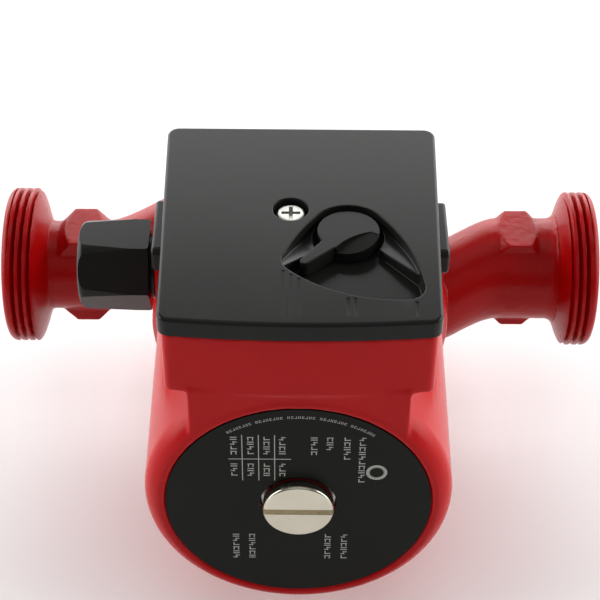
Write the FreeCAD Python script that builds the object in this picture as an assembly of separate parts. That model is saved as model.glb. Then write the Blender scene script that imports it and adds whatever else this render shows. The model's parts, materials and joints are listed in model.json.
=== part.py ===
# Wet-rotor circulator pump for a heating loop, in millimetres.
#
# The pump is laid out about the point where the pipe axis (X) crosses the motor axis (Y).
# The motor points to -Y and the terminal box to +Z. Distances towards the motor front are
# called "forward" and measured along -Y. On export everything moves along +X, so that the
# origin is the centre of the inlet union's sealing face and the flow runs along +X.
import FreeCAD
import Part
import math
import os

Vector = FreeCAD.Vector

# ---------------------------------------------------------------- driving dimensions
PORT_TO_PORT = 180.0
HALF_LENGTH = PORT_TO_PORT / 2
UNION_THREAD_R = 23.9
UNION_PITCH = 2.309
UNION_THREAD_DEPTH = 1.4
UNION_CREST = 0.7
UNION_CREST_COUNT = 4
UNION_BACK_X = 79.4
UNION_FIRST_CREST_X = 80.95
UNION_SHOULDER_R = 3.0
UNION_BACK_SLOPE = 1.6
UNION_FACE_R = 21.8
PORT_BORE_R = 13.0
PORT_BORE_LENGTH = 8.0
INLET_NECK_R = 13.8
INLET_THROAT_R = 10.5
OUTLET_NECK_R = 15.8
OUTLET_THROAT_R = 12.0
INLET_LUG_FLATS = 31.0
OUTLET_LUG_FLATS = 32.0
LUG_WIDTH = 17.8
LUG_MIDDLE_X = 66.7
LUG_CREST = 6.4
FIT_GAP = 0.3
ARM_SECTIONS = 8
ARM_START_X = 62.0
WAY_START_X = 58.0

HOUSING_BACK = -27.0
JOINT_PLANE = 24.0
FLANGE_R = 44.4
CHAMBER_R = 38.0
PLATE_SEAT_R = 42.2
PLATE_SEAT = 20.0
SCREW_CIRCLE_R = 48.5
SCREW_R = 2.5
BOSS_R = 6.0

SHAFT_R = 4.0
BEARING_CLEARANCE = 0.05
BEARING_R = 8.0
FRONT_BEARING = (20.0, 28.0)
REAR_BEARING = (81.0, 88.0)
CAN_INNER_R = 22.2
CAN_WALL = 0.6
CAN_END = 80.0
NOSE_R = 10.0
NOSE_END = 97.0
VENT_THREAD_R = 6.0
CORE_R = 38.0
CORE_SPAN = (38.0, 72.0)
SLOT_COUNT = 12

BARREL_BACK_R = 42.4
BARREL_FRONT_R = 41.6
FACE_R = 37.6
FACE = 99.6
PLATE_FACE = 99.3
PLATE_T = 0.8
PLATE_R = 35.7
FRONT_WALL = 91.0

LID_BACK = 18.5
LID_FRONT_CORNER = 98.9
LID_FRONT_MIDDLE = 100.7
LID_BACK_HALF = 37.2
LID_FRONT_HALF = 35.1
LID_TOP = 66.0
LID_BOTTOM = 58.9
LID_WALL = 2.0
LID_CORNER_R = 3.2
LID_EDGE_R = 1.0
TRAY_TOP = 58.4
TRAY_FLOOR = 41.0
TRAY_INSET = 0.8
TRAY_WALL = 2.4
NECK_HALF = 28.5
LEAD_HOLE_FORWARD = 83.0
LEAD_HOLE_R = 4.5

KNOB_X = 12.45
KNOB_FORWARD = 62.4
KNOB_R = 8.2
KNOB_TOP = 64.9
LEVER_REACH = 18.2
LEVER_ANGLE = 227.6
RECESS_FLOOR = 60.2
KNOB_GAP = 1.1
LEDGE_LEVEL_RUN = 14.0
LEDGE_REACH = 16.0
SCOOP_DEPTH = 1.7
SCOOP_SPAN = (-4.6, 9.0)
LID_SCREW_X = -2.6
LID_SCREW_FORWARD = 55.3
LID_SCREW_SEAT = 62.3
LID_SCREW_TOP = 64.8
MARK_HALF_WIDTH = 0.45
MARK_DEPTH = 0.18
MARK_END = 97.3
MARK_STARTS = ((-4.3, 80.1), (-2.3, 81.5), (-0.3, 83.0), (11.9, 90.4), (13.7, 90.4), (28.8, 91.6))

TERMINAL_X = (-26.0, -19.0, -12.0)
TERMINAL_FORWARD = 73.0

GLAND_FORWARD = 52.4
GLAND_Z = 44.0
GLAND_THREAD_R = 8.0
GLAND_FLATS = 21.8
GLAND_NUT = (40.5, 59.6)
GLAND_BOSS_X = 39.0
GLAND_BOSS_R = 10.4
PAD_SPAN = (41.0, 64.0)
PAD_HEIGHT = (50.8, 58.4)
PAD_X = 39.3


# ---------------------------------------------------------------- helpers
def traced(steps, place):
    """Closed wire through steps: a point is a straight run, a pair of points an arc."""
    start = place(*steps[0])
    here = start
    edges = []
    for step in steps[1:]:
        if isinstance(step[0], tuple):
            end = place(*step[1])
            edges.append(Part.Arc(here, place(*step[0]), end).toShape())
        else:
            end = place(*step)
            edges.append(Part.LineSegment(here, end).toShape())
        here = end
    if here.distanceToPoint(start) > 1e-6:
        edges.append(Part.LineSegment(here, start).toShape())
    return Part.Wire(edges)


def turned(steps):
    """Solid of revolution about the motor axis, from (forward, radius) steps."""
    face = Part.Face(traced(steps, lambda forward, radius: Vector(radius, -forward, 0)))
    return face.revolve(Vector(0, 0, 0), Vector(0, 1, 0), 360)


def turned_on_pipe(steps):
    """Solid of revolution about the pipe axis, from (x, radius) steps."""
    face = Part.Face(traced(steps, lambda x, radius: Vector(x, radius, 0)))
    return face.revolve(Vector(0, 0, 0), Vector(1, 0, 0), 360)


def ring(span, outer_r, inner_r=0.0):
    """Disc or ring on the motor axis between two forward distances."""
    start, end = span
    disc = Part.makeCylinder(outer_r, end - start, Vector(0, -start, 0), Vector(0, -1, 0))
    if inner_r:
        disc = disc.cut(Part.makeCylinder(inner_r, end - start, Vector(0, -start, 0), Vector(0, -1, 0)))
    return disc


def post(x, forward, low, high, radius):
    """Upright cylinder."""
    return Part.makeCylinder(radius, high - low, Vector(x, -forward, low))


def block(x_span, forward_span, z_span):
    """Box between pairs of x, forward and z values."""
    size = [abs(span[1] - span[0]) for span in (x_span, forward_span, z_span)]
    corner = Vector(min(x_span), -max(forward_span), min(z_span))
    return Part.makeBox(size[0], size[1], size[2], corner)


def upright(steps, low, high):
    """Prism along Z over a plan of (x, forward) steps."""
    face = Part.Face(traced(steps, lambda x, forward: Vector(x, -forward, low)))
    return face.extrude(Vector(0, 0, high - low))


def edges_along(shape, axis):
    """Straight edges of a shape that run along an axis."""
    found = []
    for edge in shape.Edges:
        if edge.Curve.TypeId == "Part::GeomLine" and edge.Curve.Direction.cross(axis).Length < 1e-6:
            found.append(edge)
    return found


def edges_at_height(shape, height):
    """Edges that lie wholly in one horizontal plane."""
    found = []
    for edge in shape.Edges:
        box = edge.BoundBox
        if abs(box.ZMin - height) < 1e-6 and abs(box.ZMax - height) < 1e-6:
            found.append(edge)
    return found


def pipe_circle(x, forward, z, radius):
    """Circular section of an arm, square to the pipe axis."""
    circle = Part.Circle(Vector(x, -forward, z), Vector(1, 0, 0), radius)
    return Part.Wire(circle.toShape())


def arm(start, end, stub_x):
    """Round arm that eases from one (x, forward, z, radius) to another, then runs straight to stub_x."""
    circles = []
    for i in range(ARM_SECTIONS + 1):
        t = i / ARM_SECTIONS
        ease = t * t * (3 - 2 * t)
        x = start[0] + (end[0] - start[0]) * t
        offsets = [a + (b - a) * ease for a, b in zip(start[1:], end[1:])]
        circles.append(pipe_circle(x, *offsets))
    bend = Part.makeLoft(circles, True, False)
    reach = stub_x - end[0]
    direction = Vector(math.copysign(1, reach), 0, 0)
    stub = Part.makeCylinder(end[3], abs(reach), Vector(end[0], -end[1], end[2]), direction)
    return bend.fuse(stub)


def hexagon_on_x(flats, x_from, x_to, forward=0.0, z=0.0):
    """Hexagonal bar along X with flats facing up and down."""
    corner_r = flats / math.sqrt(3)
    corners = []
    for i in range(6):
        angle = math.radians(60 * i)
        offset = Vector(0, corner_r * math.cos(angle), corner_r * math.sin(angle))
        corners.append(Vector(x_from, -forward, z) + offset)
    face = Part.Face(Part.makePolygon(corners + corners[:1]))
    return face.extrude(Vector(x_to - x_from, 0, 0))


def around_motor(shape, count, first=0.0):
    """Copies of a shape spaced evenly round the motor axis."""
    copies = []
    for i in range(count):
        copy = shape.copy()
        copy.rotate(Vector(0, 0, 0), Vector(0, 1, 0), first + 360.0 * i / count)
        copies.append(copy)
    return copies


def fused(shapes):
    """One solid from several overlapping ones."""
    first = shapes[0]
    return first.multiFuse(shapes[1:]).removeSplitter()


# ---------------------------------------------------------------- pump housing
def union_end(side, neck_r):
    """Neck, rounded shoulder and threaded collar of one port; side is -1 or 1."""
    steps = [(side * ARM_START_X, 0.0), (side * ARM_START_X, neck_r)]
    steps.append((side * (UNION_BACK_X - UNION_SHOULDER_R), neck_r))
    bend = UNION_SHOULDER_R * math.sqrt(0.5)
    middle = (side * (UNION_BACK_X - UNION_SHOULDER_R + bend), neck_r + UNION_SHOULDER_R - bend)
    steps.append((middle, (side * UNION_BACK_X, neck_r + UNION_SHOULDER_R)))
    for i in range(UNION_CREST_COUNT):
        crest = UNION_FIRST_CREST_X + i * UNION_PITCH
        crest_start = max(crest - UNION_CREST / 2, UNION_BACK_X + UNION_BACK_SLOPE)
        steps.append((side * crest_start, UNION_THREAD_R))
        steps.append((side * (crest + UNION_CREST / 2), UNION_THREAD_R))
        if i < UNION_CREST_COUNT - 1:
            steps.append((side * (crest + UNION_PITCH / 2), UNION_THREAD_R - UNION_THREAD_DEPTH))
    steps.append((side * HALF_LENGTH, UNION_FACE_R))
    steps.append((side * HALF_LENGTH, 0.0))
    return turned_on_pipe(steps)


def wrench_lug(side, flats):
    """Spanner flats above and below one neck, with sloping ends."""
    root_r = flats / 2 - 2.5
    tip_r = math.hypot(LUG_WIDTH / 2, flats / 2) + 0.2
    slope = tip_r - root_r
    low = LUG_MIDDLE_X - LUG_CREST / 2 - slope
    high = LUG_MIDDLE_X + LUG_CREST / 2 + slope
    bar = block((side * low, side * high), (-LUG_WIDTH / 2, LUG_WIDTH / 2), (-flats / 2, flats / 2))
    steps = [(side * low, 0.0), (side * low, root_r)]
    steps.append((side * (low + slope), tip_r))
    steps.append((side * (high - slope), tip_r))
    steps.append((side * high, root_r))
    steps.append((side * high, 0.0))
    return bar.common(turned_on_pipe(steps))


def port_passage(side, throat_r):
    """Wide mouth of a port, with its taper down to the throat."""
    mouth = HALF_LENGTH - PORT_BORE_LENGTH
    steps = [(side * HALF_LENGTH, 0.0), (side * HALF_LENGTH, PORT_BORE_R), (side * mouth, PORT_BORE_R)]
    steps += [(side * (mouth - 5.0), throat_r), (side * WAY_START_X, throat_r), (side * WAY_START_X, 0.0)]
    return turned_on_pipe(steps)


def screw_places():
    """Centres (x, z) of the four housing screws."""
    reach = SCREW_CIRCLE_R * math.sqrt(0.5)
    return [(reach, reach), (-reach, reach), (-reach, -reach), (reach, -reach)]


def along_motor(x, z, span, radius):
    """Cylinder parallel to the motor axis."""
    return Part.makeCylinder(radius, span[1] - span[0], Vector(x, -span[0], z), Vector(0, -1, 0))


def screw_bosses(span):
    """Round bosses for the housing screws, each on a web that ties it to the casting."""
    shapes = [along_motor(x, z, span, BOSS_R) for x, z in screw_places()]
    web_inner = CHAMBER_R + 2
    web_span = (max(span[0], JOINT_PLANE - 8), min(span[1], JOINT_PLANE + 7))
    web = block((web_inner, SCREW_CIRCLE_R), web_span, (-BOSS_R, BOSS_R))
    return shapes + around_motor(web, 4, 45.0)


def flow_arrow():
    """Raised arrow on the back of the housing that points along the flow."""
    plan = [(-13, -2), (3, -2), (3, -5.5), (13, 0), (3, 5.5), (3, 2), (-13, 2)]
    corners = [Vector(x, -HOUSING_BACK - 0.5, z) for x, z in plan]
    face = Part.Face(Part.makePolygon(corners + corners[:1]))
    return face.extrude(Vector(0, 1.5, 0))


def pump_housing():
    bowl = turned([
        (HOUSING_BACK, 0), (HOUSING_BACK, 22), ((-24.5, 31), (-17, 36.5)), (-3, 42), (14, 42),
        (18, FLANGE_R), (JOINT_PLANE, FLANGE_R), (JOINT_PLANE, 0)])
    scroll = along_motor(3.0, -3.5, (-7.0, 17.0), 44.5)
    scroll = scroll.makeFillet(8.0, [e for e in scroll.Edges if e.Curve.TypeId == "Part::GeomCircle"])
    inlet_arm = arm((-ARM_START_X, 0, 0, INLET_NECK_R), (-30.0, -8.5, 0, 20.0), -10.0)
    outlet_arm = arm((ARM_START_X, 0, 0, OUTLET_NECK_R), (38.0, 7.0, -5.0, OUTLET_NECK_R), 20.0)
    bosses = screw_bosses((12.0, JOINT_PLANE))
    solids = [bowl, scroll, inlet_arm, outlet_arm]
    solids += [union_end(-1, INLET_NECK_R), union_end(1, OUTLET_NECK_R), wrench_lug(-1, INLET_LUG_FLATS),
               wrench_lug(1, OUTLET_LUG_FLATS)]
    body = solids[0].multiFuse(solids[1:] + bosses + [flow_arrow()])
    impeller_chamber = ring((1.0, PLATE_SEAT), CHAMBER_R)
    plate_seat = ring((PLATE_SEAT, JOINT_PLANE), PLATE_SEAT_R)
    suction_chamber = ring((-22.0, -3.0), 17.0)
    eye = ring((-3.0, 1.0), 13.5)
    inlet_way = arm((-WAY_START_X, 0, 0, INLET_THROAT_R), (-26.0, -12.5, 0, 9.4), -8.0)
    outlet_way = arm((WAY_START_X, 0, 0, OUTLET_THROAT_R), (34.0, 10.0, -8.0, 8.5), 22.0)
    holes = [along_motor(x, z, (14.0, JOINT_PLANE), SCREW_R) for x, z in screw_places()]
    hollows = [impeller_chamber, plate_seat, suction_chamber, eye, inlet_way, outlet_way]
    hollows += [port_passage(-1, INLET_THROAT_R), port_passage(1, OUTLET_THROAT_R)]
    return body.cut(hollows[0].multiFuse(hollows[1:])).cut(Part.makeCompound(holes))


def neck_ring():
    return ring((-2.5, 1.0), 13.5, 12.0)


# ---------------------------------------------------------------- rotating parts
def impeller():
    """Closed impeller: two shrouds, a hub and six swept blades."""
    eye_collar = ring((-1.8, 4.0), 11.6, 9.6)
    front_shroud = ring((2.4, 4.0), 32.0, 9.6)
    back_shroud = ring((10.0, 12.0), 32.0, SHAFT_R)
    hub = ring((7.0, 17.0), 7.0, SHAFT_R)
    plan = [(10.5, 0), ((22.0, 3.0), (31.0, 12.0)), (32.0, 10.5), ((22.5, 1.4), (10.5, -1.6))]
    blade = upright(plan, 0, 6.4)
    blade.rotate(Vector(0, 0, 0), Vector(1, 0, 0), 90)
    blade.translate(Vector(0, -3.8, 0))
    return fused([eye_collar, front_shroud, back_shroud, hub] + around_motor(blade, 6))


def impeller_clip():
    """Split collar that holds the impeller on the shaft."""
    collar = ring((4.4, 7.0), 6.2, SHAFT_R)
    return collar.cut(block((0, 8), (4, 8), (-0.6, 0.6)))


def shaft():
    rod = ring((3.6, 90.0), SHAFT_R)
    return rod.cut(block((-6, 6), (88.4, 91), (-0.6, 0.6)))


def rotor_core():
    core = turned([
        (34, SHAFT_R), (34, 20.5), (35, 21.5), (77, 21.5), (78, 20.5), (78, SHAFT_R)])
    return core


# ---------------------------------------------------------------- bearings, can and seals
def bearing_plate():
    disc = ring((PLATE_SEAT, 21.5), 42.0, BEARING_R)
    sleeve = ring((21.5, FRONT_BEARING[1]), 9.4, BEARING_R)
    rib = turned([(PLATE_SEAT, 27), (19.2, 27.5), (19.2, 31), (PLATE_SEAT, 31.5)])
    return fused([disc, sleeve, rib])


def rotor_can():
    outer_r = CAN_INNER_R + CAN_WALL
    return turned([
        (21.5, CAN_INNER_R), (21.5, 42.0), (22.3, 42.0), (22.3, outer_r), (CAN_END + 1, outer_r),
        (CAN_END + 1, NOSE_R), (NOSE_END, NOSE_R), (NOSE_END, VENT_THREAD_R),
        (REAR_BEARING[1], VENT_THREAD_R), (REAR_BEARING[1], BEARING_R),
        (CAN_END, BEARING_R), (CAN_END, CAN_INNER_R)])


def vent_plug():
    """Slotted brass plug on the motor axis."""
    thread = ring((91.5, 98.75), VENT_THREAD_R - BEARING_CLEARANCE)
    head = turned([
        (98.75, 0), (98.75, 9.5), (101.4, 9.5), ((102.0, 9.3), (102.3, 8.7)), (102.3, 0)])
    slot = block((-10, 10), (100.6, 103), (-1.0, 1.0))
    return fused([thread, head]).cut(slot)


# ---------------------------------------------------------------- stator
def stator_core():
    core = ring(CORE_SPAN, CORE_R, CAN_INNER_R + CAN_WALL + FIT_GAP)
    slot = block((26.0, 33.0), CORE_SPAN, (-2.6, 2.6))
    mouth = block((22.0, 27.0), CORE_SPAN, (-1.0, 1.0))
    cuts = around_motor(fused([slot, mouth]), SLOT_COUNT)
    return core.cut(Part.makeCompound(cuts))


def end_turns(span):
    """Rounded ring of windings beyond one end of the core."""
    start, end = span
    return turned([
        (start, 26.5), (start, 32.5), ((start + 0.8, 34.6), (start + 3, 35.5)), (end - 3, 35.5),
        ((end - 0.8, 34.6), (end, 32.5)), (end, 26.5), ((end - 0.7, 25.4), (end - 2, 25.0)),
        (start + 2, 25.0), ((start + 0.7, 25.4), (start, 26.5))])


def stator_windings():
    bar = block((26.3, 32.7), (34, 76), (-2.3, 2.3))
    bars = around_motor(bar, SLOT_COUNT)
    return fused([end_turns((26.5, 37.2)), end_turns((72.8, 84.0))] + bars)


def box_plan(inset):
    """Plan of the terminal box, drawn in by an inset from the lid's outline."""
    back = LID_BACK + inset
    back_half = LID_BACK_HALF - inset
    front_half = LID_FRONT_HALF - inset
    corner = LID_FRONT_CORNER - inset
    middle = LID_FRONT_MIDDLE - inset
    front = ((0, middle), (-front_half, corner))
    return [(-back_half, back), (back_half, back), (front_half, corner), front]


def rounded_prism(plan, low, high, corner_r):
    """Prism with its upright edges rounded."""
    solid = upright(plan, low, high)
    return solid.makeFillet(corner_r, edges_along(solid, Vector(0, 0, 1)))


def tray():
    """Open box of the stator housing, which stands on the barrel."""
    tray_back = JOINT_PLANE + 0.5
    outside = rounded_prism(box_plan(TRAY_INSET), TRAY_FLOOR, TRAY_TOP, LID_CORNER_R - TRAY_INSET)
    outside = outside.cut(block((-50, 50), (0, tray_back), (TRAY_FLOOR - 1, 47.5)))
    inside = rounded_prism(box_plan(TRAY_INSET + TRAY_WALL), TRAY_FLOOR + 2.5, TRAY_TOP + 1, 1.0)
    inside = inside.cut(block((-50, 50), (0, tray_back + 2.5), (TRAY_FLOOR, 50.0)))
    return outside, inside


def stator_housing():
    barrel = turned([
        (JOINT_PLANE, 0), (JOINT_PLANE, FLANGE_R), (JOINT_PLANE + 4, FLANGE_R),
        (JOINT_PLANE + 7, BARREL_BACK_R),
        (92.5, BARREL_FRONT_R), ((97.6, 40.2), (FACE, FACE_R)), (FACE, 0)])
    neck = block((-NECK_HALF, NECK_HALF), (30.0, PLATE_FACE), (20.0, TRAY_FLOOR + 1))
    neck = neck.cut(ring((FACE - 5, FACE + 5), FACE_R - 1))
    lugs = screw_bosses((JOINT_PLANE, 32.0))
    outside, inside = tray()
    boss_start = Vector(-GLAND_BOSS_X, -GLAND_FORWARD, GLAND_Z)
    gland_boss = Part.makeCylinder(GLAND_BOSS_R, 9.0, boss_start, Vector(1, 0, 0))
    body = fused([barrel, neck, outside, gland_boss] + lugs)
    hollows = [ring((JOINT_PLANE, FRONT_WALL), CORE_R)]
    hollows.append(ring((FRONT_WALL, FACE), NOSE_R + FIT_GAP))
    hollows.append(ring((93.0, 95.5), 12.0))
    hollows.append(ring((PLATE_FACE - PLATE_T, FACE), PLATE_R + 0.4))
    hollows.append(inside)
    hollows.append(post(0, LEAD_HOLE_FORWARD, 30.0, TRAY_FLOOR + 4, LEAD_HOLE_R))
    hollows += [along_motor(x, z, (JOINT_PLANE, 32.0), SCREW_R + 0.2) for x, z in screw_places()]
    for side in (-1, 1):
        hollows.append(block((side * 30, side * 39), PAD_SPAN, (PAD_HEIGHT[0], TRAY_TOP + 1)))
    gland_axis = Vector(-50, -GLAND_FORWARD, GLAND_Z)
    hollows.append(Part.makeCylinder(GLAND_THREAD_R, 22, gland_axis, Vector(1, 0, 0)))
    return body.cut(Part.makeCompound(hollows))


def housing_screws():
    """Four socket-head screws, each a separate solid."""
    screws = []
    for x, z in screw_places():
        head = along_motor(x, z, (32.0, 37.0), 4.25)
        shank = along_motor(x, z, (15.0, 32.0), SCREW_R)
        socket = hexagon_on_x(4.0, 0, 2.6)
        socket.rotate(Vector(0, 0, 0), Vector(0, 0, 1), -90)
        socket.translate(Vector(x, -34.5, z))
        screws.append(head.fuse(shank).removeSplitter().cut(socket))
    return Part.makeCompound(screws)


# ---------------------------------------------------------------- terminal box
def recess_plan():
    """Plan of the rounded three-cornered recess round the speed knob."""
    return [
        (3.9, 58.3), ((12.3, 53.5), (20.9, 58.1)), ((28.1, 71.6), (31.0, 84.4)),
        ((30.6, 88.3), (27.6, 90.8)), ((11.7, 88.9), (-3.2, 79.4)), ((-4.7, 76.4), (-3.9, 73.0)),
        ((-0.6, 65.5), (3.9, 58.3))]


def ledge(start, end, low_edge, high_edge, side):
    """Ledge on one side of a line: level behind the start, then rising to the end."""
    near = Vector(start[0], -start[1], 0)
    far = Vector(end[0], -end[1], 0)
    along = (far - near).normalize()
    back = near - along * LEDGE_LEVEL_RUN
    outward = Vector(-along.y, along.x, 0) * (side * LEDGE_REACH)
    points = [back + Vector(0, 0, LID_BOTTOM), back + Vector(0, 0, low_edge), near + Vector(0, 0, low_edge),
              far + Vector(0, 0, high_edge), far + Vector(0, 0, LID_BOTTOM)]
    face = Part.Face(Part.makePolygon(points + points[:1]))
    return face.extrude(outward)


def knob_recess():
    """Space cut into the lid for the knob and its lever, with a sloping ledge on each side."""
    pit = upright(recess_plan(), RECESS_FLOOR, LID_TOP + 1)
    round_knob = post(KNOB_X, KNOB_FORWARD, RECESS_FLOOR, LID_TOP, KNOB_R + KNOB_GAP)
    right_ledge = ledge((21.0, 68.4), (31.0, 80.3), 62.6, 64.2, 1)
    left_ledge = ledge((3.55, 68.1), (-6.45, 80.0), 62.0, 66.2, -1)
    return pit.cut(right_ledge.cut(round_knob)).cut(left_ledge.cut(round_knob))


def speed_marks():
    """Strokes engraved in front of the recess: three, two and one for the three speeds."""
    strokes = []
    for x, start in MARK_STARTS:
        strokes.append(block((x - MARK_HALF_WIDTH, x + MARK_HALF_WIDTH), (start, MARK_END),
                             (LID_TOP - MARK_DEPTH, LID_TOP + 1)))
    return strokes


def terminal_box_lid():
    shell = rounded_prism(box_plan(0.0), LID_BOTTOM, LID_TOP, LID_CORNER_R)
    shell = shell.makeFillet(LID_EDGE_R, edges_at_height(shell, LID_TOP))
    inside = rounded_prism(box_plan(LID_WALL), LID_BOTTOM - 1, LID_TOP - LID_WALL, 1.0)
    bowl = block((-7.5, 33.0), (51.0, 94.0), (LID_BOTTOM, LID_TOP - 1))
    bowl = bowl.common(rounded_prism(box_plan(1.0), LID_BOTTOM - 1, LID_TOP, 1.0))
    screw_post = post(LID_SCREW_X, LID_SCREW_FORWARD, LID_BOTTOM, LID_TOP - 1, 6.0)
    hollows = [knob_recess()]
    hollows.append(post(KNOB_X, KNOB_FORWARD, LID_BOTTOM - 1, LID_TOP, 3.9))
    hollows.append(post(LID_SCREW_X, LID_SCREW_FORWARD, LID_SCREW_SEAT, LID_TOP + 1, 4.7))
    hollows.append(post(LID_SCREW_X, LID_SCREW_FORWARD, LID_BOTTOM - 1, LID_TOP, 2.3))
    hollows += speed_marks()
    return fused([shell.cut(inside), bowl, screw_post]).cut(Part.makeCompound(hollows))


def lid_gasket():
    outer = rounded_prism(box_plan(1.2), TRAY_TOP, LID_BOTTOM, 2.0)
    return outer.cut(rounded_prism(box_plan(LID_WALL + 0.9), TRAY_TOP - 1, LID_BOTTOM + 1, 1.0))


def terminal_box_base():
    """Black insert that lines the tray and carries the cable-entry pads."""
    floor = TRAY_FLOOR + 2.5
    inset = TRAY_INSET + TRAY_WALL + 0.1
    outside = rounded_prism(box_plan(inset), floor, TRAY_TOP, 0.9)
    inside = rounded_prism(box_plan(inset + 1.5), floor + 1.8, TRAY_TOP + 1, 0.9)
    solid = outside.cut(inside)
    solid = solid.cut(block((-50, 50), (0, JOINT_PLANE + 3.1), (floor - 1, TRAY_TOP + 1)))
    pads = []
    for side in (-1, 1):
        pad = block((side * 30, side * PAD_X), (PAD_SPAN[0] + 0.1, PAD_SPAN[1] - 0.1), PAD_HEIGHT)
        pad = pad.makeFillet(1.8, edges_along(pad, Vector(1, 0, 0)))
        rim = [e for e in pad.Edges if all(abs(v.X - side * PAD_X) < 0.01 for v in e.Vertexes)]
        pads.append(pad.makeFillet(1.0, rim))
    boss = post(LID_SCREW_X, LID_SCREW_FORWARD, floor, TRAY_TOP, 4.4)
    solid = fused([solid, boss] + pads)
    hollows = [post(0, LEAD_HOLE_FORWARD, floor - 1, floor + 4, LEAD_HOLE_R)]
    hollows.append(post(LID_SCREW_X, LID_SCREW_FORWARD, 46.0, TRAY_TOP + 1, 2.0))
    gland_axis = Vector(-50, -GLAND_FORWARD, GLAND_Z)
    hollows.append(Part.makeCylinder(GLAND_THREAD_R + 1.8, 22, gland_axis, Vector(1, 0, 0)))
    return solid.cut(Part.makeCompound(hollows))


def lid_screw():
    """Pan-head screw with a cross recess."""
    head = post(LID_SCREW_X, LID_SCREW_FORWARD, LID_SCREW_SEAT, LID_SCREW_TOP, 3.9)
    head = head.makeFillet(0.9, edges_at_height(head, LID_SCREW_TOP))
    shank = post(LID_SCREW_X, LID_SCREW_FORWARD, 47.0, LID_SCREW_SEAT, 2.0)
    wing = 2.5
    cuts = []
    for half_x, half_y in ((wing, 0.5), (0.5, wing)):
        cuts.append(block(
            (LID_SCREW_X - half_x, LID_SCREW_X + half_x),
            (LID_SCREW_FORWARD - half_y, LID_SCREW_FORWARD + half_y), (LID_SCREW_TOP - 1.5, LID_TOP)))
    return head.fuse(shank).removeSplitter().cut(Part.makeCompound(cuts))


def finger_scoop():
    """Hollow beside the lever that deepens towards the lever's tip; u runs along the lever."""
    near, far = SCOOP_SPAN
    plan = upright([(7.6, -2.3), ((0.5, -2.85), (-3.6, -4.9)), (near, -9.5), (far, -9.5)], 60.0, LID_TOP)
    slope = [Vector(near, 0, KNOB_TOP), Vector(far, 0, KNOB_TOP - SCOOP_DEPTH), Vector(far, 0, LID_TOP),
             Vector(near, 0, LID_TOP)]
    wedge = Part.Face(Part.makePolygon(slope + slope[:1])).extrude(Vector(0, 10, 0))
    return plan.common(wedge)


def speed_knob():
    """Round knob with a pointer lever, a finger scoop and a square stem."""
    low = RECESS_FLOOR + 0.5
    disc = post(0, 0, low, KNOB_TOP, KNOB_R)
    disc = disc.makeFillet(0.4, edges_at_height(disc, KNOB_TOP))
    lever = upright([(0, 3.3), (LEVER_REACH - 1.2, 1.2), ((LEVER_REACH, 0.0), (LEVER_REACH - 1.2, -1.35)),
                     (7.2, -2.3), (0, -2.9)], low, KNOB_TOP)
    lever = lever.makeFillet(0.4, edges_at_height(lever, KNOB_TOP))
    top = fused([disc, lever]).cut(finger_scoop())
    top.rotate(Vector(0, 0, 0), Vector(0, 0, 1), LEVER_ANGLE)
    top.translate(Vector(KNOB_X, -KNOB_FORWARD, 0))
    stem = block((KNOB_X - 2, KNOB_X + 2), (KNOB_FORWARD - 2, KNOB_FORWARD + 2), (51.0, low + 1))
    return fused([top, stem])


def speed_switch():
    case = block((KNOB_X - 9, KNOB_X + 11), (KNOB_FORWARD - 9, KNOB_FORWARD + 9), (45.3, 56.0))
    case = case.makeFillet(1.0, edges_along(case, Vector(0, 0, 1)))
    cavity = post(KNOB_X, KNOB_FORWARD, 46.7, 55.0, 5.4)
    mouth = post(KNOB_X, KNOB_FORWARD, 54.0, 57.0, 3.6)
    return case.cut(cavity.fuse(mouth))


def switch_rotor():
    drum = post(KNOB_X, KNOB_FORWARD, 47.1, 54.6, 5.0)
    socket = block((KNOB_X - 2, KNOB_X + 2), (KNOB_FORWARD - 2, KNOB_FORWARD + 2), (51.0, 55.0))
    return drum.cut(socket)


def run_capacitor():
    case = block((-20, 20), (31.5, 45.5), (45.3, 57.5))
    return case.makeFillet(1.5, edges_along(case, Vector(0, 0, 1)))


def terminal_block():
    """Three-way block with a wire entry and a screw well for each way."""
    body = block((-30, -8), (66, 80), (45.3, 56.0))
    cuts = []
    for x in TERMINAL_X:
        cuts.append(post(x, TERMINAL_FORWARD, 49.0, 57.0, 2.2))
        cuts.append(block((x - 1.8, x + 1.8), (60, 85), (47.0, 50.0)))
    return body.cut(Part.makeCompound(cuts))


def terminal_screws():
    """Clamp screws of the terminal block, one solid each."""
    screws = []
    for x in TERMINAL_X:
        head = post(x, TERMINAL_FORWARD, 50.2, 54.0, 2.2)
        slot = block((x - 2.5, x + 2.5), (TERMINAL_FORWARD - 0.3, TERMINAL_FORWARD + 0.3), (53.0, 55.0))
        screws.append(head.cut(slot))
    return Part.makeCompound(screws)


def earth_screw():
    head = post(24.0, 86.0, 45.3, 47.8, 3.5)
    washer = post(24.0, 86.0, 45.3, 46.1, 4.5)
    slot = block((20, 28), (85.6, 86.4), (47.0, 49.0))
    return head.fuse(washer).removeSplitter().cut(slot)


# ---------------------------------------------------------------- cable gland
def turned_on_gland(steps):
    """Solid of revolution about the gland axis, from (distance out, radius) steps."""
    solid = turned_on_pipe([(-out, radius) if not isinstance(out, tuple) else
                            ((-out[0], out[1]), (-radius[0], radius[1])) for out, radius in steps])
    solid.translate(Vector(0, -GLAND_FORWARD, GLAND_Z))
    return solid


def gland_body():
    collar_end = GLAND_NUT[0] - 0.4
    outer = GLAND_NUT[0] + 10
    return turned_on_gland([
        (31, 5.5), (31, GLAND_THREAD_R), (GLAND_BOSS_X, GLAND_THREAD_R), (GLAND_BOSS_X, 9.0),
        (collar_end, 9.0), (collar_end, 7.6), (outer, 7.6), (outer, 5.5)])


def gland_seal():
    start = GLAND_NUT[0] + 10
    return turned_on_gland([
        (start, 5.0), (start, 7.6), (start + 4, 7.6), (start + 7, 6.6), (start + 7, 5.0)])


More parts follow.
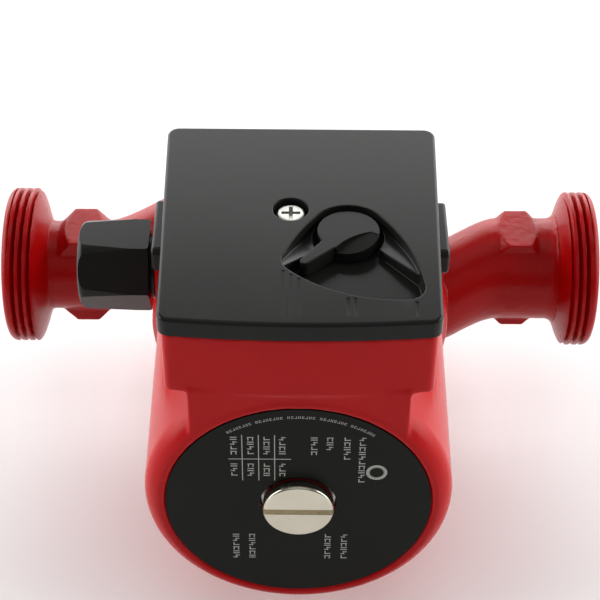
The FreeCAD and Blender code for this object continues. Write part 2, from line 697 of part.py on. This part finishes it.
def gland_nut():
    start, end = GLAND_NUT
    bar = hexagon_on_x(GLAND_FLATS, -start, -end, GLAND_FORWARD, GLAND_Z)
    corner_r = GLAND_FLATS / math.sqrt(3)
    envelope = turned_on_gland([
        (start, 0), (start, corner_r - 0.3), (start + 0.8, corner_r + 0.2), (end - 2.0, corner_r - 0.7),
        ((end - 0.6, 11.2), (end, 9.8)), (end, 0)])
    hollow = turned_on_gland([
        (start, 0), (start, 7.6), (start + 14, 7.6), (start + 17, 6.6), (end, 6.6), (end, 0)])
    return bar.common(envelope).cut(hollow)


# ---------------------------------------------------------------- export
NODES = {
    "pump_housing": pump_housing,
    "neck_ring": neck_ring,
    "impeller": impeller,
    "impeller_clip": impeller_clip,
    "shaft": shaft,
    "rotor_core": rotor_core,
    "thrust_bearing": lambda: ring((28.4, 31.4), 8.8, SHAFT_R),
    "thrust_bearing_retainer": lambda: ring((31.4, 34.0), 8.0, SHAFT_R),
    "front_bearing": lambda: ring(FRONT_BEARING, BEARING_R, SHAFT_R + BEARING_CLEARANCE),
    "rear_bearing": lambda: ring(REAR_BEARING, BEARING_R, SHAFT_R + BEARING_CLEARANCE),
    "bearing_plate": bearing_plate,
    "rotor_can": rotor_can,
    "housing_gasket": lambda: ring((22.3, JOINT_PLANE), 41.5, 38.5),
    "front_seal": lambda: ring((93.0, 95.5), 12.0, NOSE_R),
    "vent_plug": vent_plug,
    "vent_plug_seal": lambda: ring((NOSE_END + 0.35, 98.75), 8.6, VENT_THREAD_R),
    "stator_core": stator_core,
    "stator_windings": stator_windings,
    "stator_housing": stator_housing,
    "housing_screws": housing_screws,
    "nameplate": lambda: ring((PLATE_FACE - PLATE_T, PLATE_FACE), PLATE_R, NOSE_R + FIT_GAP),
    "terminal_box_base": terminal_box_base,
    "terminal_box_lid": terminal_box_lid,
    "lid_gasket": lid_gasket,
    "lid_screw": lid_screw,
    "speed_knob": speed_knob,
    "speed_switch": speed_switch,
    "switch_rotor": switch_rotor,
    "run_capacitor": run_capacitor,
    "terminal_block": terminal_block,
    "terminal_screws": terminal_screws,
    "earth_screw": earth_screw,
    "gland_body": gland_body,
    "gland_seal": gland_seal,
    "gland_nut": gland_nut,
}


def main():
    os.makedirs("parts", exist_ok=True)
    for name, make in NODES.items():
        shape = make()
        shape.translate(Vector(HALF_LENGTH, 0, 0))
        shape.exportStep("parts/" + name + ".step")
        print(name, len(shape.Solids), "solids", round(shape.Volume / 1000, 2), "cm3", shape.isValid())


main()
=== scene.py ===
import json
import math

import bmesh
import bpy
from mathutils import Matrix, Vector


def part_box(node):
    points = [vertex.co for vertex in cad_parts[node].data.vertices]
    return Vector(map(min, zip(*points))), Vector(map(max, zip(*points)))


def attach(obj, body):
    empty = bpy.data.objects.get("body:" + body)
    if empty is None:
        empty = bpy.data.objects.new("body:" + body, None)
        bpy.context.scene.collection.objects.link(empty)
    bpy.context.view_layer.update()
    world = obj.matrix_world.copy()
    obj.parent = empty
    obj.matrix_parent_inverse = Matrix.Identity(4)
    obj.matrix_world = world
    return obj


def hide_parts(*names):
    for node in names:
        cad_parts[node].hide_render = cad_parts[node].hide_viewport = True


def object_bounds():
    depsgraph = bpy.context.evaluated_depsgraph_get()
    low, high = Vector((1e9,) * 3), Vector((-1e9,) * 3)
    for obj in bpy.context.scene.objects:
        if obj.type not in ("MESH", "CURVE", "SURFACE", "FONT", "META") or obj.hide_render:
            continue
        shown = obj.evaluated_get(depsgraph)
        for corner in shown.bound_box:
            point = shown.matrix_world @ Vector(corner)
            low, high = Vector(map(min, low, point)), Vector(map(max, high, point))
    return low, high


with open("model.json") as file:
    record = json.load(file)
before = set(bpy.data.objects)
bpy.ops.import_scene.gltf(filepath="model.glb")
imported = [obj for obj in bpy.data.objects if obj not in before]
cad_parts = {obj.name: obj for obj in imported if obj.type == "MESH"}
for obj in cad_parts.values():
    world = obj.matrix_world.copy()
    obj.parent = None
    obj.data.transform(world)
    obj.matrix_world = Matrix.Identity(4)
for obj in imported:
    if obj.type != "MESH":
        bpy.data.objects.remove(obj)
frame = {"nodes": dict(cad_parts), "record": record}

CAD_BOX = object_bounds()
MM = 0.001

# ---------------------------------------------------------------- places, from the frame
def middle(node):
    """Centre of a CAD node's box."""
    low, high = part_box(node)
    return (low + high) / 2


HOUSING_LOW, HOUSING_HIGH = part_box("pump_housing")
LID_LOW, LID_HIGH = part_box("terminal_box_lid")
PLATE_LOW, PLATE_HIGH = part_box("nameplate")
MOTOR_X = middle("shaft").x
PLATE_X = middle("nameplate").x
SLOTS = {row["node"]: row["material_slot"] for row in frame["record"]["subparts"]}
NODE_BODY = {}
for body_name, members in frame["record"]["behaviour"]["bodies"].items():
    for member in members:
        NODE_BODY[member] = body_name


# ---------------------------------------------------------------- materials
COAT_ROUGHNESS = 0.1
RED = (0.50, 0.0050, 0.0060)
RED_IRON = (0.37, 0.0020, 0.0025)
BLACK = (0.014, 0.014, 0.013)


def node_tree(name):
    """New node material with its shader, and short makers for nodes and links."""
    material = bpy.data.materials.new(name)
    material.use_nodes = True
    tree = material.node_tree
    shader = tree.nodes["Principled BSDF"]

    def add(kind, **inputs):
        node = tree.nodes.new(kind)
        for key, value in inputs.items():
            node.inputs[key.replace("_", " ")].default_value = value
        return node

    def link(source, output, target, socket):
        tree.links.new(source.outputs[output], target.inputs[socket])

    return material, shader, add, link


def textured(name, colour, variation, roughness, rough_swing, scale, bump, bump_scale,
             metallic=0.0, coat=0.0, specular=0.5):
    """Material with mottled colour, uneven gloss and a fine surface relief.

    variation and rough_swing are the share by which the mottle moves colour and roughness; scale is the
    mottle's and bump_scale the relief's; bump is the relief's height in metres.
    """
    material, shader, add, link = node_tree(name)
    place = add("ShaderNodeTexCoord")
    mottle = add("ShaderNodeTexNoise", Scale=scale, Detail=4.0, Roughness=0.55)
    link(place, "Object", mottle, "Vector")
    ramp = add("ShaderNodeValToRGB")
    dark = [c * (1 - variation) for c in colour] + [1]
    light = [min(1, c * (1 + variation)) for c in colour] + [1]
    ramp.color_ramp.elements[0].position = 0.3
    ramp.color_ramp.elements[1].position = 0.7
    ramp.color_ramp.elements[0].color = dark
    ramp.color_ramp.elements[1].color = light
    link(mottle, "Fac", ramp, "Fac")
    link(ramp, "Color", shader, "Base Color")
    gloss = add("ShaderNodeMapRange")
    gloss.inputs["To Min"].default_value = roughness - rough_swing
    gloss.inputs["To Max"].default_value = roughness + rough_swing
    link(mottle, "Fac", gloss, "Value")
    link(gloss, "Result", shader, "Roughness")
    grain = add("ShaderNodeTexNoise", Scale=bump_scale, Detail=3.0, Roughness=0.6)
    link(place, "Object", grain, "Vector")
    relief = add("ShaderNodeBump", Strength=1.0, Distance=bump)
    link(grain, "Fac", relief, "Height")
    link(relief, "Normal", shader, "Normal")
    shader.inputs["Metallic"].default_value = metallic
    shader.inputs["Coat Weight"].default_value = coat
    shader.inputs["Coat Roughness"].default_value = COAT_ROUGHNESS
    shader.inputs["Specular IOR Level"].default_value = specular
    return material


# name, colour, variation, roughness, rough_swing, scale, bump, bump_scale, further inputs
MATERIAL_ROWS = (
    ("red_iron", RED_IRON, 0.06, 0.28, 0.04, 60, 0.00006, 900, {"specular": 0.17}),
    ("red_aluminium", RED, 0.04, 0.26, 0.03, 45, 0.00002, 1200, {"specular": 0.13}),
    ("black_plastic", BLACK, 0.10, 0.24, 0.02, 40, 0.000004, 1500, {"specular": 0.15}),
    ("white_plastic", (0.80, 0.79, 0.74), 0.03, 0.42, 0.05, 60, 0.00002, 2500, {}),
    ("grey_plastic", (0.42, 0.43, 0.44), 0.05, 0.45, 0.05, 60, 0.00002, 2500, {}),
    ("composite", (0.10, 0.095, 0.085), 0.15, 0.5, 0.08, 300, 0.00003, 2500, {}),
    ("stainless", (0.62, 0.61, 0.59), 0.06, 0.28, 0.08, 90, 0.00001, 2500, {"metallic": 1.0}),
    ("zinc_steel", (0.50, 0.51, 0.47), 0.08, 0.34, 0.08, 300, 0.00002, 2500, {"metallic": 1.0}),
    ("lamination_steel", (0.20, 0.20, 0.21), 0.15, 0.45, 0.1, 200, 0.00003, 1500, {"metallic": 0.8}),
    ("plated_brass", (0.72, 0.67, 0.55), 0.06, 0.22, 0.06, 120, 0.00001, 2500, {"metallic": 1.0}),
    ("copper", (0.60, 0.22, 0.09), 0.15, 0.35, 0.08, 400, 0.00020, 900, {"metallic": 0.9, "coat": 0.5}),
    ("ceramic", (0.83, 0.81, 0.76), 0.03, 0.2, 0.03, 60, 0.00001, 2500, {}),
    ("carbon", (0.045, 0.045, 0.05), 0.2, 0.4, 0.08, 300, 0.00002, 2500, {}),
    ("seal_rubber", (0.02, 0.02, 0.02), 0.2, 0.6, 0.08, 200, 0.00003, 1500, {}),
    ("label", (0.006, 0.007, 0.005), 0.08, 0.34, 0.03, 60, 0.00001, 2500, {"specular": 0.12}),
    ("label_ink", (0.55, 0.55, 0.50), 0.05, 0.4, 0.04, 300, 0.00001, 2500, {}),
)
MATERIALS = {row[0]: textured(*row[:-1], **row[-1]) for row in MATERIAL_ROWS}


def dressed(piece, slot, body, node=None):
    """Gives a piece its material, its body and, where it stands for a CAD node, that node's place."""
    piece.data.materials.clear()
    piece.data.materials.append(MATERIALS[slot])
    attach(piece, body)
    if node:
        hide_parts(node)


for node_name, node_object in frame["nodes"].items():
    node_object.data.materials.clear()
    node_object.data.materials.append(MATERIALS[SLOTS[node_name]])


# ---------------------------------------------------------------- mesh helpers
WELD_DISTANCE = 1e-6
FLAT_ANGLE = math.radians(0.4)
LEVEL = 0.02 * MM
CASTING_VOXEL = 0.55 * MM


def new_piece(name, mesh):
    """Object of a mesh, put into the scene."""
    piece = bpy.data.objects.new(name, mesh)
    bpy.context.scene.collection.objects.link(piece)
    return piece


def from_bmesh(name, bm):
    """Object of a bmesh, which is used up."""
    mesh = bpy.data.meshes.new(name)
    bm.normal_update()
    bm.to_mesh(mesh)
    bm.free()
    return new_piece(name, mesh)


def welded(node):
    """Editable copy of a CAD node's mesh with its faces joined up again."""
    bm = bmesh.new()
    bm.from_mesh(frame["nodes"][node].data)
    bmesh.ops.remove_doubles(bm, verts=bm.verts, dist=WELD_DISTANCE)
    return bm


def settled(piece):
    """Applies a piece's modifiers."""
    graph = bpy.context.evaluated_depsgraph_get()
    mesh = bpy.data.meshes.new_from_object(piece.evaluated_get(graph))
    piece.modifiers.clear()
    piece.data = mesh
    return piece


def smoothed(piece):
    """Smooth shading on every face."""
    for polygon in piece.data.polygons:
        polygon.use_smooth = True
    return piece


def wall_height(face):
    """Height of a face from its lowest to its highest corner."""
    heights = [vert.co.z for vert in face.verts]
    return max(heights) - min(heights)


def crisp(node, name, bevel, segments=2, angle=28.0, engraving=0.0, source=None):
    """Copy of a CAD node with small rounded edges; engraved walls lower than engraving stay sharp."""
    bm = source or welded(node)
    bmesh.ops.dissolve_limit(bm, angle_limit=FLAT_ANGLE, verts=bm.verts, edges=bm.edges)
    weight = bm.edges.layers.float.new("bevel_weight_edge")
    for edge in bm.edges:
        engraved = any(LEVEL < wall_height(face) < engraving for face in edge.link_faces)
        if len(edge.link_faces) == 2 and edge.calc_face_angle() > math.radians(angle) and not engraved:
            edge[weight] = 1.0
    piece = from_bmesh(name, bm)
    rounding = piece.modifiers.new("rounding", "BEVEL")
    rounding.width = bevel
    rounding.segments = segments
    rounding.limit_method = "WEIGHT"
    rounding.use_clamp_overlap = not engraving
    rounding.harden_normals = False
    weighting = piece.modifiers.new("weighting", "WEIGHTED_NORMAL")
    weighting.keep_sharp = True
    smoothed(piece)
    settled(piece)
    dressed(piece, SLOTS[node], NODE_BODY[node], node)


def as_casting(bm, name, passes):
    """Closed mesh with the soft edges and blended joins of a casting."""
    piece = from_bmesh(name, bm)
    remesh = piece.modifiers.new("skin", "REMESH")
    remesh.mode = "VOXEL"
    remesh.voxel_size = CASTING_VOXEL
    soften = piece.modifiers.new("soften", "SMOOTH")
    soften.factor = 0.5
    soften.iterations = passes
    return smoothed(settled(piece))


# ---------------------------------------------------------------- pump housing
COLLAR_WIDTH = 10.6 * MM
THREAD_R = 23.9 * MM
THREAD_DEPTH = 1.7 * MM
PITCH = 2.309 * MM
FIRST_CREST = 1.55 * MM
THREAD_END = 8.7 * MM
EDGE_WIDTH = 2.2 * MM
FACE_R = 21.7 * MM
FLARE_LENGTH = 5.2 * MM
PORT_R = 13.0 * MM
SUNK = 0.25 * MM
CUT_BACK = 0.4 * MM
CREST_SHARE = 0.4
MOUTH_BEVEL = 0.5 * MM
THROAT_START = 2.6 * MM
TURN_STEPS = 180
LENGTH_STEPS = 140
CREASE_ANGLE = math.radians(50)
SKIN_DEPTH = 0.12 * MM
SKIN_GRAIN = 2.2 * MM
IRON_PASSES = 3
ALUMINIUM_PASSES = 4

INLET_NECK_R = 13.8 * MM
INLET_THROAT_R = 11.9 * MM
INLET_FLARE = (-2.4 * MM, 2.4 * MM)
OUTLET_NECK_R = 15.8 * MM
OUTLET_THROAT_R = 12.9 * MM
OUTLET_FLARE = (-1.5 * MM, 3.0 * MM)


def roughened(piece):
    """Gives a casting's skin a fine unevenness, which only ever lowers the surface."""
    clouds = bpy.data.textures.new("casting_skin", "CLOUDS")
    clouds.noise_scale = SKIN_GRAIN
    clouds.noise_depth = 2
    skin = piece.modifiers.new("skin_grain", "DISPLACE")
    skin.texture = clouds
    skin.texture_coords = "LOCAL"
    skin.strength = SKIN_DEPTH
    skin.mid_level = 1.0
    return settled(piece)


def pump_casting():
    """The casting up to the backs of the threaded collars."""
    bm = welded("pump_housing")
    reach = COLLAR_WIDTH + CUT_BACK
    for side, x in ((-1, HOUSING_LOW.x + reach), (1, HOUSING_HIGH.x - reach)):
        cut = bmesh.ops.bisect_plane(
            bm, geom=bm.verts[:] + bm.edges[:] + bm.faces[:], plane_co=(x, 0, 0), plane_no=(side, 0, 0),
            clear_outer=True)
        rim = [e for e in cut["geom_cut"] if isinstance(e, bmesh.types.BMEdge)]
        bmesh.ops.bridge_loops(bm, edges=rim)
    piece = smoothed(roughened(as_casting(bm, "pump_casting", IRON_PASSES)))
    dressed(piece, "red_iron", "pump", "pump_housing")


def thread_radius(x, turn):
    """Radius of the threads at a distance x from the collar's back, at a share of a turn."""
    phase = ((x - FIRST_CREST) / PITCH - turn + 1.0) % 1.0
    height = min(1.0, abs(1.0 - 2 * abs(phase - 0.5)) / (1 - CREST_SHARE))
    if x > THREAD_END:
        height = 1.0
    return THREAD_R - THREAD_DEPTH * (1 - height)


def collar_radius(x, turn, neck_r, flare):
    """Radius of the collar and the flare behind it; flare is where its curve starts and ends."""
    share = min(1.0, max(0.0, (x - flare[0]) / (flare[1] - flare[0])))
    radius = neck_r + (THREAD_R - neck_r) * share * share * (3 - 2 * share)
    radius -= SUNK * min(1.0, max(0.0, (flare[0] - x) / (flare[0] + FLARE_LENGTH)))
    edge = max(0.0, x - (COLLAR_WIDTH - EDGE_WIDTH)) / EDGE_WIDTH
    rounded = THREAD_R - (THREAD_R - FACE_R) * (1 - math.sqrt(max(0.0, 1 - edge * edge)))
    return min(radius, rounded, thread_radius(x, turn))


def union_thread(name, face_x, side, neck_r, flare, throat_r):
    """Threaded collar with the flare behind it and the bore through it; side points out of the port."""
    back_x = face_x - side * COLLAR_WIDTH
    length = COLLAR_WIDTH + FLARE_LENGTH
    profile = []
    for row in range(LENGTH_STEPS + 1):
        along = length * row / LENGTH_STEPS - FLARE_LENGTH
        radii = [collar_radius(along, k / TURN_STEPS, neck_r, flare) for k in range(TURN_STEPS)]
        profile.append((along, radii))
    bore = ((COLLAR_WIDTH, PORT_R + MOUTH_BEVEL), (COLLAR_WIDTH - MOUTH_BEVEL, PORT_R),
            (THROAT_START, PORT_R), (-CUT_BACK, throat_r), (-FLARE_LENGTH, neck_r - 1.0 * MM))
    profile += [(along, [radius] * TURN_STEPS) for along, radius in bore]
    bm = bmesh.new()
    rings = []
    for along, radii in profile:
        ring = []
        for k, radius in enumerate(radii):
            angle = 2 * math.pi * k / TURN_STEPS
            place = (back_x + side * along, radius * math.cos(angle), radius * math.sin(angle))
            ring.append(bm.verts.new(place))
        rings.append(ring)
    for a, b in zip(rings, rings[1:] + rings[:1]):
        for k in range(TURN_STEPS):
            j = (k + 1) % TURN_STEPS
            bm.faces.new((a[k], a[j], b[j], b[k]))
    bmesh.ops.recalc_face_normals(bm, faces=bm.faces)
    piece = smoothed(from_bmesh(name, bm))
    piece.data.set_sharp_from_angle(angle=CREASE_ANGLE)
    dressed(piece, "red_iron", "pump")


pump_casting()
union_thread("inlet_union_thread", HOUSING_LOW.x, -1, INLET_NECK_R, INLET_FLARE, INLET_THROAT_R)
union_thread("outlet_union_thread", HOUSING_HIGH.x, 1, OUTLET_NECK_R, OUTLET_FLARE, OUTLET_THROAT_R)


# ---------------------------------------------------------------- motor housing
SKIRT_LIFT = 1.6 * MM
RIM_ZONE = 0.8 * MM


def motor_casting():
    """The motor barrel with its tray, whose rim comes up under the lid's shortened skirt."""
    bm = welded("stator_housing")
    for vert in bm.verts:
        if vert.co.z > LID_LOW.z - RIM_ZONE:
            vert.co.z += SKIRT_LIFT
    piece = as_casting(bm, "motor_casting", ALUMINIUM_PASSES)
    dressed(piece, "red_aluminium", "pump", "stator_housing")


motor_casting()


# ---------------------------------------------------------------- terminal box lid
SKIRT_WALL = 2.6 * MM
LID_TAPER = 2.1 * MM
LID_BOW = 1.8 * MM
CUT_MARGIN = 1.0 * MM


def short_skirted_lid():
    """The lid's mesh with its skirt cut shorter; the bowl under the knob keeps its depth."""
    back = LID_HIGH.y - SKIRT_WALL
    front = LID_LOW.y + LID_BOW + SKIRT_WALL
    left, right = LID_LOW.x + SKIRT_WALL, LID_HIGH.x - SKIRT_WALL
    low_x, low_y = LID_LOW.x - CUT_MARGIN, LID_LOW.y - CUT_MARGIN
    high_x, high_y = LID_HIGH.x + CUT_MARGIN, LID_HIGH.y + CUT_MARGIN
    outer = ((low_x, low_y), (high_x, low_y), (high_x, high_y), (low_x, high_y))
    inner = ((left + LID_TAPER, front), (right - LID_TAPER, front), (right, back), (left, back))
    heights = (LID_LOW.z - CUT_MARGIN, LID_LOW.z + SKIRT_LIFT)
    ring = bmesh.new()
    low_out, high_out = [[ring.verts.new((x, y, z)) for x, y in outer] for z in heights]
    low_in, high_in = [[ring.verts.new((x, y, z)) for x, y in inner] for z in heights]
    loops = (low_out, high_out, high_in, low_in)
    for a, b in zip(loops, loops[1:] + loops[:1]):
        for k in range(4):
            j = (k + 1) % 4
            ring.faces.new((a[k], a[j], b[j], b[k]))
    bmesh.ops.recalc_face_normals(ring, faces=ring.faces)
    cutter = from_bmesh("skirt_cutter", ring)
    whole = from_bmesh("whole_lid", welded("terminal_box_lid"))
    trim = whole.modifiers.new("trim", "BOOLEAN")
    trim.operation = "DIFFERENCE"
    trim.solver = "EXACT"
    trim.object = cutter
    settled(whole)
    bm = bmesh.new()
    bm.from_mesh(whole.data)
    bpy.data.objects.remove(cutter)
    bpy.data.objects.remove(whole)
    return bm


# ---------------------------------------------------------------- plain parts with rounded edges
crisp("terminal_box_lid", "box_lid", 0.3 * MM, 3, engraving=0.3 * MM, source=short_skirted_lid())
for node_name, piece_name, edge_width, edge_segments, edge_angle in (
        ("terminal_box_base", "box_base", 0.25, 2, 28.0),
        ("speed_knob", "knob", 0.25, 3, 28.0),
        ("lid_screw", "lid_screw_head", 0.12, 2, 28.0),
        ("gland_nut", "gland_cap", 0.45, 3, 20.0),
        ("gland_body", "gland_neck", 0.2, 2, 28.0),
        ("gland_seal", "gland_insert", 0.2, 2, 28.0),
        ("housing_screws", "housing_bolts", 0.2, 2, 28.0),
        ("vent_plug", "bleed_plug", 0.2, 2, 28.0),
        ("nameplate", "front_plate", 0.12, 2, 28.0)):
    crisp(node_name, piece_name, edge_width * MM, edge_segments, edge_angle)


# ---------------------------------------------------------------- print on the front plate
INK_HEIGHT = 0.04 * MM
INK_LINE = 0.26 * MM
MARK_PITCH = 1.75
FIRST_MARK = 0.9
ARC_R = 32.9 * MM
ARC_MARKS = 44
ARC_WORD = 9
ARC_START, ARC_SWEEP = 124.0, 70.0
COLUMNS = (
    (-17.0, 26.0, 18.6), (-12.6, 26.0, 18.6), (-8.4, 26.0, 18.6), (-4.3, 26.0, 18.6),
    (-17.0, 16.0, 10.0), (-12.6, 16.0, 10.0), (-8.4, 16.0, 10.0), (-4.3, 16.0, 10.0),
    (4.0, 26.0, 18.0), (8.1, 26.0, 19.5), (12.6, 26.0, 16.0), (16.6, 26.0, 8.0),
    (-17.0, -12.0, -24.0), (-12.6, -12.0, -24.0), (8.1, -12.0, -24.0), (12.6, -12.0, -24.0))
TABLE_LINES = (-14.8, -10.5, -6.3)
EMBLEM_X, EMBLEM_Z, EMBLEM_R = 20.6 * MM, 12.6 * MM, 2.3 * MM
EMBLEM_STEPS = 16


def add_bar(bm, x, z, half_x, half_z, turn=0.0):
    """Thin printed bar on the plate, centred at x, z from the motor axis and turned about its centre."""
    cos, sin = math.cos(turn), math.sin(turn)
    face_y = PLATE_LOW.y
    layers = []
    for y in (face_y - INK_HEIGHT, face_y + INK_HEIGHT):
        layer = []
        for u, v in ((-half_x, -half_z), (half_x, -half_z), (half_x, half_z), (-half_x, half_z)):
            layer.append(bm.verts.new((PLATE_X + x + u * cos - v * sin, y, z + u * sin + v * cos)))
        layers.append(layer)
    front, back = layers
    bm.faces.new(front)
    bm.faces.new(back[::-1])
    for k in range(4):
        j = (k + 1) % 4
        bm.faces.new((front[j], front[k], back[k], back[j]))


def add_tick_group(bm, x, z, size, kind, turn=0.0):
    """Small generic mark of two or three bars, standing in for a printed character."""
    cos, sin = math.cos(turn), math.sin(turn)
    half_line = INK_LINE * 0.5 * size
    layouts = (
        ((-0.4, 0.0, 0.0, 0.75), (0.4, 0.0, 0.0, 0.75)),
        ((-0.4, 0.0, 0.0, 0.75), (0.1, -0.6, 0.5, 0.0), (0.1, 0.6, 0.5, 0.0)),
        ((0.4, 0.2, 0.0, 0.55), (0.0, -0.6, 0.5, 0.0)),
        ((0.0, 0.0, 0.5, 0.0), (-0.4, 0.3, 0.0, 0.45), (0.4, -0.3, 0.0, 0.45)))
    for du, dv, half_u, half_v in layouts[kind % len(layouts)]:
        u, v = du * size * MM, dv * size * MM
        add_bar(bm, x + u * cos - v * sin, z + u * sin + v * cos, half_u * size * MM + half_line,
                half_v * size * MM + half_line, turn)


def plate_print():
    """Columns of generic marks, a table's lines and a plain ring, all raised a little off the plate."""
    bm = bmesh.new()
    for k in range(ARC_MARKS):
        if k % ARC_WORD == ARC_WORD - 1:
            continue
        angle = math.radians(ARC_START - ARC_SWEEP * k / (ARC_MARKS - 1))
        add_tick_group(bm, ARC_R * math.cos(angle), ARC_R * math.sin(angle), 0.5, k * 5 + k // 3,
                       angle - math.pi / 2)
    for column, (x, top, bottom) in enumerate(COLUMNS):
        for k in range(int((top - bottom) / MARK_PITCH)):
            z = top - FIRST_MARK - MARK_PITCH * k
            add_tick_group(bm, x * MM, z * MM, 1.0, column + k * 3, -math.pi / 2)
    for x in TABLE_LINES:
        add_bar(bm, x * MM, 17.8 * MM, INK_LINE * 0.4, 8.6 * MM)
    add_bar(bm, -10.2 * MM, 17.4 * MM, 8.2 * MM, INK_LINE * 0.4)
    for k in range(EMBLEM_STEPS):
        angle = 2 * math.pi * k / EMBLEM_STEPS
        x = EMBLEM_X + EMBLEM_R * math.cos(angle)
        z = EMBLEM_Z + EMBLEM_R * math.sin(angle)
        add_bar(bm, x, z, 0.45 * MM, 0.55 * MM, angle)
    piece = from_bmesh("plate_print", bm)
    piece.data.materials.append(MATERIALS["label_ink"])
    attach(piece, "pump")


plate_print()


# ---------------------------------------------------------------- camera, floor and light
ELEVATION = math.radians(41.2)
ROLL = math.radians(0.47)
DISTANCE = 0.520
AIM_DROP = 10.6 * MM
FOCAL = 99.42
SENSOR = 36
FLOOR_HALF = 4.0
WORLD_STRENGTH = 0.12
AIM = (MOTOR_X, -0.04, 0.02)
# name, place, width and height, power
LIGHTS = (
    ("back_softbox", (MOTOR_X, 1.4, 0.56), (4.4, 1.15), 60),
    ("overhead", (MOTOR_X, 0.2, 1.6), (1.6, 1.0), 4),
    ("front_fill", (MOTOR_X, -1.3, 1.3), (2.0, 1.2), 2.6),
    ("left_softbox", (MOTOR_X - 1.1, 0.1, 0.35), (1.0, 0.8), 11),
    ("right_softbox", (MOTOR_X + 1.1, 0.1, 0.35), (1.0, 0.8), 11),
)


def add_camera():
    """Camera in front of the motor, looking down on the lid and rolled a little."""
    data = bpy.data.cameras.new("camera")
    camera = bpy.data.objects.new("camera", data)
    bpy.context.scene.collection.objects.link(camera)
    up = Vector((0, math.sin(ELEVATION), math.cos(ELEVATION)))
    ahead = Vector((0, math.cos(ELEVATION), -math.sin(ELEVATION)))
    target = Vector((MOTOR_X, 0, 0)) - up * AIM_DROP
    camera.location = target - ahead * DISTANCE
    right = ahead.cross(up)
    turned_up = up * math.cos(ROLL) + right * math.sin(-ROLL)
    turned_right = ahead.cross(turned_up)
    axes = Matrix((turned_right, turned_up, -ahead)).transposed()
    camera.rotation_euler = axes.to_euler()
    data.lens = FOCAL
    data.sensor_width = SENSOR
    bpy.context.scene.camera = camera


def add_area(name, place, size, power):
    """Rectangular softbox that faces the pump."""
    data = bpy.data.lights.new(name, "AREA")
    data.shape = "RECTANGLE"
    data.size, data.size_y = size
    data.energy = power
    light = bpy.data.objects.new(name, data)
    bpy.context.scene.collection.objects.link(light)
    light.location = place
    light.rotation_euler = (Vector(AIM) - Vector(place)).to_track_quat("-Z", "Y").to_euler()


def add_floor():
    """Pale floor that the pump stands on."""
    bm = bmesh.new()
    low = CAD_BOX[0][2]
    sides = ((-1, -1), (1, -1), (1, 1), (-1, 1))
    corners = [bm.verts.new((MOTOR_X + x * FLOOR_HALF, y * FLOOR_HALF, low)) for x, y in sides]
    bm.faces.new(corners)
    floor = from_bmesh("floor", bm)
    floor.data.materials.append(textured("floor", (0.93, 0.93, 0.93), 0.01, 0.6, 0.02, 3, 0.00001, 200))


def add_world():
    """Dim white surroundings."""
    world = bpy.data.worlds.new("studio")
    world.use_nodes = True
    background = world.node_tree.nodes["Background"]
    background.inputs["Color"].default_value = (1, 1, 1, 1)
    background.inputs["Strength"].default_value = WORLD_STRENGTH
    bpy.context.scene.world = world
    bpy.context.scene.view_settings.view_transform = "Standard"


add_camera()
add_floor()
add_world()
for light_name, light_place, light_size, light_power in LIGHTS:
    add_area(light_name, light_place, light_size, light_power)
